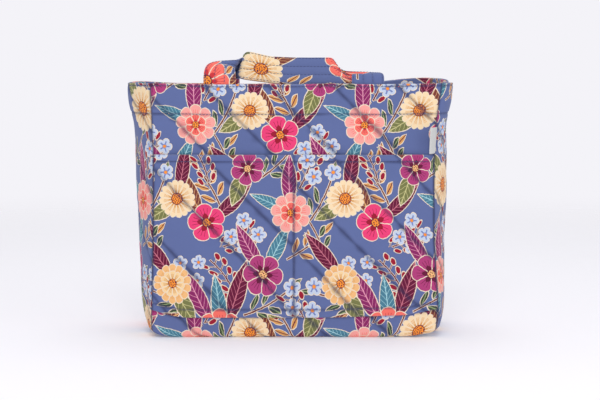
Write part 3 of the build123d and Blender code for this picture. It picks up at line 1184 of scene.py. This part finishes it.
# The front handle has fallen back over the mouth; at its left shoulder the strap folds behind itself.
FRONT_EDGES = [
    (-83.5, 0, -13, -53.5, 0, -13),
    (-83.5, 0, 0, -53.5, 0, 0),
    (-83, 2, 7, -54, 1, 6),
    (-80.5, 6, 12.5, -55, 3, 9),
    (-73, 10, 14.5, -56, 6, 8),
    (-62, 14, 15.5, -59.5, 7, 5),
    (-53, 17, 16.5, -60, 10, 2),
    (-51, 25, 17, -60, 22, -1),
    (-47.5, 31, 19, -54, 27, -1),
    (-44.5, 28, 24, -51.5, 14, -0.5),
    (-41, 28, 24, -46, 13, -2),
    (-22, 30, 19.5, -20, 15, -5.5),
    (0, 30, 18.5, 0, 15, -7),
    (24, 30, 18.5, 22, 15, -7),
    (36, 30, 18.5, 37, 14, -7),
    (41, 27, 9, 53, 11, -7),
    (46, 30, 6, 58, 19, -7),
    (60, 24, 5, 57, 13, -6),
    (74, 18, 4, 56, 7, -4),
    (82, 8, 3.5, 54, 4, 1),
    (83.5, 1, 2, 53.5, 1, 3),
    (83.5, 0, -13, 53.5, 0, -13),
]
FOLDS = 52 * MM, 167 * MM  # along the strap from its hidden left end
HINGE_REACH = 4.5 * MM  # a length either side of the front strap's swing line
LEAN = Vector((0, 0.5, math.sqrt(0.75)))  # the way its legs stand


def front_strap_relief(u, v):
    sunk = 0.9 * hill(u, FOLDS[0], 5 * MM) + 0.8 * hill(u, FOLDS[1], 4 * MM)
    return strap_relief(u, v) - sunk * MM


def build_front_handle():
    """One strap from its sewn ends to its grip, bending at the rim."""
    pivot = Vector(JOINTS["front_handle_swing"]["pos_m"])
    place, length = strap_place(FRONT_EDGES, pivot, -1)
    obj = strap("front_strap", place, length, (0.02, 0.012), relief=front_strap_relief)
    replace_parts(obj, "front_handle_cover", "front_handle_core", "front_handle_ends")
    runs = strap_runs(place, 8 * MM, length - 8 * MM)
    thread = join_stitches("front_strap_thread", runs, STITCH, body=None)
    reach = LEAN * HINGE_REACH
    for piece in (obj, thread):
        pivot - reach
        pivot + reach
        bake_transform(piece)


# Foot and top of the back handle's legs, and how far its two edges arch above them, in millimetres
BACK_FOOT, BACK_LEG = -1.4, 8
BACK_ARCH = ((LEG_OUTER, 42), (LEG_INNER, 12))
SEWN_IN_Y = 44.4 * MM  # depth at which its sewn ends run down inside the back wall


def build_back_handle():
    """Hangs behind the bag, folded over a short sewn end at each leg."""
    pivot = Vector(JOINTS["back_handle_swing"]["pos_m"])
    lowest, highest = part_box("back_handle_cover")
    fold = math.atan2(highest.y - pivot.y - 2 * MM, lowest.z - pivot.z)

    def across(way, inwards, up):
        return way * LEG_OUTER, inwards, up, way * LEG_INNER, inwards, up

    edges = [across(-1, 0, BACK_FOOT)]
    for turn in np.linspace(math.pi, 0, 25):
        arch = [(x * math.cos(turn), 0, BACK_LEG + high * math.sin(turn)) for x, high in BACK_ARCH]
        edges.append(arch[0] + arch[1])
    edges.append(across(1, 0, BACK_FOOT))
    place, length = strap_place(edges, pivot, 1, fold)
    obj = strap("back_strap", place, length, (0.09, 0.1), "back_handle")
    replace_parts(obj, "back_handle_cover", "back_handle_core")
    runs = strap_runs(place, 4 * MM, length - 4 * MM)
    join_stitches("back_strap_thread", runs, STITCH, body="back_handle")
    depth = (pivot.y - SEWN_IN_Y) / MM
    for name, way in (("left", -1), ("right", 1)):
        edges = [across(way, depth, -14), across(way, depth, -4.6), across(way, -1.1, 1.0)]
        place, length = strap_place(edges, pivot, 1)
        obj = strap("back_strap_end_" + name, place, length, (0.2 * way, 0.1), "bag")
        if way < 0:
            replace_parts(obj, "back_handle_ends")


def dress_hardware():
    """Parts of the frame whose own shape is right get their material."""
    for name in ("snap_stud", "snap_socket", "snap_washers", "base_board"):
        key = "stiffener" if name == "base_board" else "snap_metal"
        for slot in frame["nodes"][name].material_slots:
            slot.material = MATERIALS[key]


for side in SIDES:
    build_wall(side)
build_wall_stitches()
build_base()
build_pocket()
build_slip_pocket()
build_label()
build_front_handle()
build_back_handle()
dress_hardware()


# ---- stage, light and camera ----
BACKDROP = ink(244, 243, 248)
FLOOR_RADIUS, FLOOR_SIDES = 6, 64
FLOOR_FADE = 0.55, 1.9  # distances between which the floor melts into the backdrop
WORLD_STRENGTH = 0.6
LAMPS = (  # name, place, size, watts
    ("key", (-0.05, -1.5, 1.25), 0.9, 10),
    ("fill", (1.3, -1.2, 0.7), 1.2, 3),
    ("top", (0.0, 0.5, 1.9), 1.4, 7),
)
AIM = (0, 0, 0.12)
LENS, SENSOR = 97.7, 36  # millimetres
EYE = Vector((0.0057, -1.552, 0.243))
EYE_TIP = math.radians(4.38)  # downwards


def build_floor():
    """A plain pale floor that melts into the backdrop far from the bag."""
    turns = np.linspace(0, math.tau, FLOOR_SIDES, endpoint=False)
    rim_points = np.stack([np.cos(turns), np.sin(turns), 0 * turns], axis=-1) * FLOOR_RADIUS
    floor = mesh_object("floor", rim_points, [list(range(FLOOR_SIDES))])
    material, tree, shader = new_material("pale_floor")
    here = object_place(tree)
    tint = paint(noise(here, 30, 3) * 0.3, ink(240, 239, 243), ink(243, 242, 247))
    fade = tree.nodes.new("ShaderNodeMapRange")
    fade.interpolation_type = "SMOOTHSTEP"
    fill(fade, Value=vector_calc("LENGTH", here), From_Min=FLOOR_FADE[0],
         From_Max=FLOOR_FADE[1], To_Min=1, To_Max=0)
    fill(shader, Base_Color=tint, Roughness=0.9, Specular_IOR_Level=0.1, Emission_Color=BACKDROP,
         Emission_Strength=0.16, Alpha=fade.outputs[0])
    floor.data.materials.append(material)
    floor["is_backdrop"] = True


def build_world():
    """Even soft light from all round, but the backdrop's own colour where the camera looks past the bag."""
    world = bpy.data.worlds.new("studio")
    world.use_nodes = True
    bpy.context.scene.world = world
    nodes = world.node_tree.nodes
    light = nodes["Background"]
    fill(light, Color=(0.98, 0.98, 1.0, 1), Strength=WORLD_STRENGTH)
    seen = nodes.new("ShaderNodeBackground")
    fill(seen, Color=BACKDROP)
    path = nodes.new("ShaderNodeLightPath")
    mix = nodes.new("ShaderNodeMixShader")
    outputs = path.outputs["Is Camera Ray"], light.outputs[0], seen.outputs[0]
    for slot, output in zip(mix.inputs, outputs):
        feed(slot, output)
    fill(nodes["World Output"], Surface=mix.outputs[0])


def aim(obj, eye, target):
    obj.location = eye
    obj.rotation_mode = "QUATERNION"
    obj.rotation_quaternion = (Vector(target) - Vector(eye)).to_track_quat("-Z", "Y")
    bpy.context.scene.collection.objects.link(obj)


def build_lights():
    for name, place, size, power in LAMPS:
        light = bpy.data.lights.new(name, "AREA")
        light.shape, light.size, light.energy = "DISK", size, power
        aim(bpy.data.objects.new(name, light), place, AIM)


def build_camera():
    """Level with the rim, a metre and a half in front, tipped slightly down."""
    camera = bpy.data.objects.new("camera", bpy.data.cameras.new("camera"))
    camera.data.lens, camera.data.sensor_width = LENS, SENSOR
    aim(camera, EYE, (EYE.x, 0, EYE.z + EYE.y * math.tan(EYE_TIP)))
    bpy.context.scene.camera = camera
    bpy.context.scene.view_settings.view_transform = "Standard"


build_floor()
build_world()
build_lights()
build_camera()

visual_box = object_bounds()
boxes = {"cad": [list(corner) for corner in cad_box], "visual": [list(corner) for corner in visual_box]}
